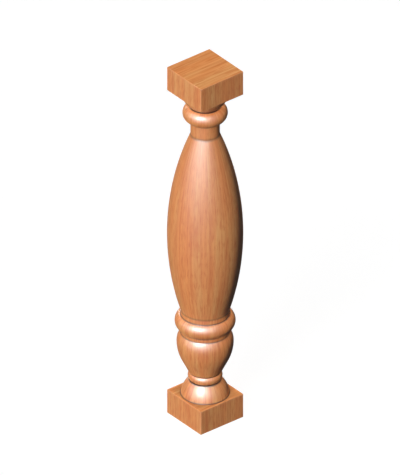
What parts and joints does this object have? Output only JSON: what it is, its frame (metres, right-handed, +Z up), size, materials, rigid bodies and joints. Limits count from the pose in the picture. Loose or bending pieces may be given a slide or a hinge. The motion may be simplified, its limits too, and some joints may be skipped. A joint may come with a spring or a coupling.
{
  "type": "stair baluster",
  "caption": "Turned wooden stair baluster: square end blocks, a bell and ring at the foot, an urn, a beaded collar, a long swelling belly and a beaded neck.",
  "frame": {"origin": "centre of the foot block's underside", "axes": "+Z up the turning axis, +X and +Y square to the faces of the end blocks"},
  "size_m": [0.1399, 0.1398, 0.75],
  "materials": {
    "wood": "clear satin varnish over straight-grained orange-brown hardwood"
  },
  "bodies": {
    "root": {"baluster": "wood"}
  },
  "joints": []
}
